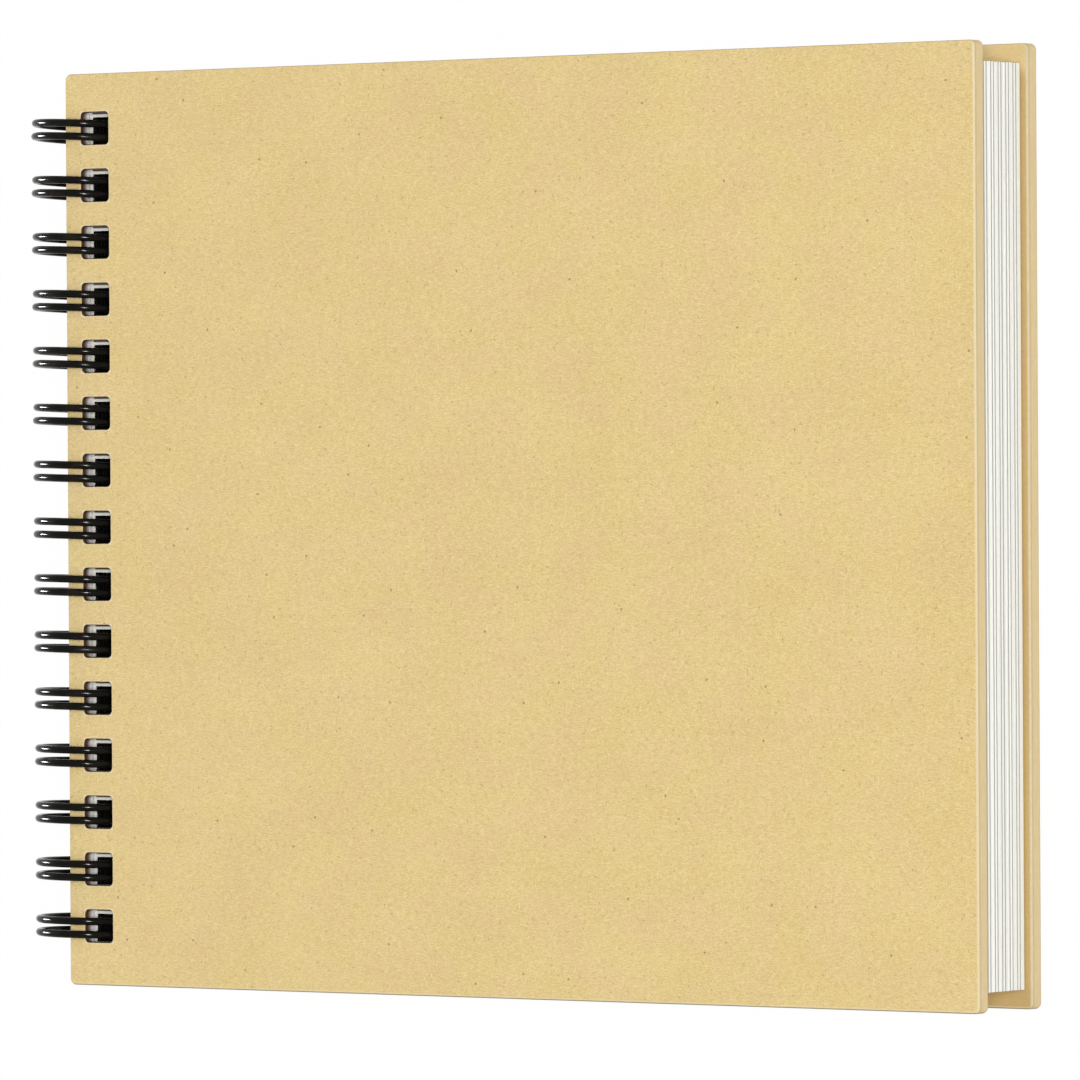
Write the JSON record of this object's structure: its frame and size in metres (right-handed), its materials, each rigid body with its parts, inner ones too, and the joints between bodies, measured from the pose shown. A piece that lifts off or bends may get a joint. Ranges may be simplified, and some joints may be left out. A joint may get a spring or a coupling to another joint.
{
  "type": "wire-bound sketchbook",
  "caption": "Kraft board sketchbook with a twin-loop wire binding, rounded hard covers and drawing-paper leaves that turn about the wire.",
  "frame": {"origin": "under the middle of the closed book's bounding box, level with the lowest point of the wire, the book lying on its back cover", "axes": "+X from the spine to the fore edge, +Y to the head of the book, +Z out of the front cover"},
  "size_m": [0.2565, 0.2032, 0.0298],
  "materials": {
    "kraft_board": "matte, uncoated kraft board with fine fibres",
    "drawing_paper": "matte, off-white",
    "black_wire": "gloss black coated steel wire"
  },
  "bodies": {
    "back": {"back_cover": "kraft_board", "wire_binding": "black_wire"},
    "sheets_18": {"sheets_18": "drawing_paper"},
    "sheets_17": {"sheets_17": "drawing_paper"},
    "sheets_16": {"sheets_16": "drawing_paper"},
    "sheets_15": {"sheets_15": "drawing_paper"},
    "sheets_14": {"sheets_14": "drawing_paper"},
    "sheets_13": {"sheets_13": "drawing_paper"},
    "sheets_12": {"sheets_12": "drawing_paper"},
    "sheets_11": {"sheets_11": "drawing_paper"},
    "sheets_10": {"sheets_10": "drawing_paper"},
    "sheets_09": {"sheets_09": "drawing_paper"},
    "sheets_08": {"sheets_08": "drawing_paper"},
    "sheets_07": {"sheets_07": "drawing_paper"},
    "sheets_06": {"sheets_06": "drawing_paper"},
    "sheets_05": {"sheets_05": "drawing_paper"},
    "sheets_04": {"sheets_04": "drawing_paper"},
    "sheets_03": {"sheets_03": "drawing_paper"},
    "sheets_02": {"sheets_02": "drawing_paper"},
    "sheets_01": {"sheets_01": "drawing_paper"},
    "front": {"front_cover": "kraft_board"}
  },
  "joints": [
    {"name": "turn_sheets_18", "type": "hinge", "parent": "back", "child": "sheets_18", "pos_m": [-0.11338, 0, 0.01489], "axis": [0, -1, 0], "range_deg": [0, 180]},
    {"name": "turn_sheets_17", "type": "hinge", "parent": "sheets_18", "child": "sheets_17", "pos_m": [-0.11338, 0, 0.01489], "axis": [0, -1, 0], "range_deg": [0, 180]},
    {"name": "turn_sheets_16", "type": "hinge", "parent": "sheets_17", "child": "sheets_16", "pos_m": [-0.11338, 0, 0.01489], "axis": [0, -1, 0], "range_deg": [0, 180]},
    {"name": "turn_sheets_15", "type": "hinge", "parent": "sheets_16", "child": "sheets_15", "pos_m": [-0.11338, 0, 0.01489], "axis": [0, -1, 0], "range_deg": [0, 180]},
    {"name": "turn_sheets_14", "type": "hinge", "parent": "sheets_15", "child": "sheets_14", "pos_m": [-0.11338, 0, 0.01489], "axis": [0, -1, 0], "range_deg": [0, 180]},
    {"name": "turn_sheets_13", "type": "hinge", "parent": "sheets_14", "child": "sheets_13", "pos_m": [-0.11338, 0, 0.01489], "axis": [0, -1, 0], "range_deg": [0, 180]},
    {"name": "turn_sheets_12", "type": "hinge", "parent": "sheets_13", "child": "sheets_12", "pos_m": [-0.11338, 0, 0.01489], "axis": [0, -1, 0], "range_deg": [0, 180]},
    {"name": "turn_sheets_11", "type": "hinge", "parent": "sheets_12", "child": "sheets_11", "pos_m": [-0.11338, 0, 0.01489], "axis": [0, -1, 0], "range_deg": [0, 180]},
    {"name": "turn_sheets_10", "type": "hinge", "parent": "sheets_11", "child": "sheets_10", "pos_m": [-0.11338, 0, 0.01489], "axis": [0, -1, 0], "range_deg": [0, 180]},
    {"name": "turn_sheets_09", "type": "hinge", "parent": "sheets_10", "child": "sheets_09", "pos_m": [-0.11338, 0, 0.01489], "axis": [0, -1, 0], "range_deg": [0, 180]},
    {"name": "turn_sheets_08", "type": "hinge", "parent": "sheets_09", "child": "sheets_08", "pos_m": [-0.11338, 0, 0.01489], "axis": [0, -1, 0], "range_deg": [0, 180]},
    {"name": "turn_sheets_07", "type": "hinge", "parent": "sheets_08", "child": "sheets_07", "pos_m": [-0.11338, 0, 0.01489], "axis": [0, -1, 0], "range_deg": [0, 180]},
    {"name": "turn_sheets_06", "type": "hinge", "parent": "sheets_07", "child": "sheets_06", "pos_m": [-0.11338, 0, 0.01489], "axis": [0, -1, 0], "range_deg": [0, 180]},
    {"name": "turn_sheets_05", "type": "hinge", "parent": "sheets_06", "child": "sheets_05", "pos_m": [-0.11338, 0, 0.01489], "axis": [0, -1, 0], "range_deg": [0, 180]},
    {"name": "turn_sheets_04", "type": "hinge", "parent": "sheets_05", "child": "sheets_04", "pos_m": [-0.11338, 0, 0.01489], "axis": [0, -1, 0], "range_deg": [0, 180]},
    {"name": "turn_sheets_03", "type": "hinge", "parent": "sheets_04", "child": "sheets_03", "pos_m": [-0.11338, 0, 0.01489], "axis": [0, -1, 0], "range_deg": [0, 180]},
    {"name": "turn_sheets_02", "type": "hinge", "parent": "sheets_03", "child": "sheets_02", "pos_m": [-0.11338, 0, 0.01489], "axis": [0, -1, 0], "range_deg": [0, 180]},
    {"name": "turn_sheets_01", "type": "hinge", "parent": "sheets_02", "child": "sheets_01", "pos_m": [-0.11338, 0, 0.01489], "axis": [0, -1, 0], "range_deg": [0, 180]},
    {"name": "turn_front_cover", "type": "hinge", "parent": "sheets_01", "child": "front", "pos_m": [-0.11338, 0, 0.01489], "axis": [0, -1, 0], "range_deg": [0, 180]}
  ]
}
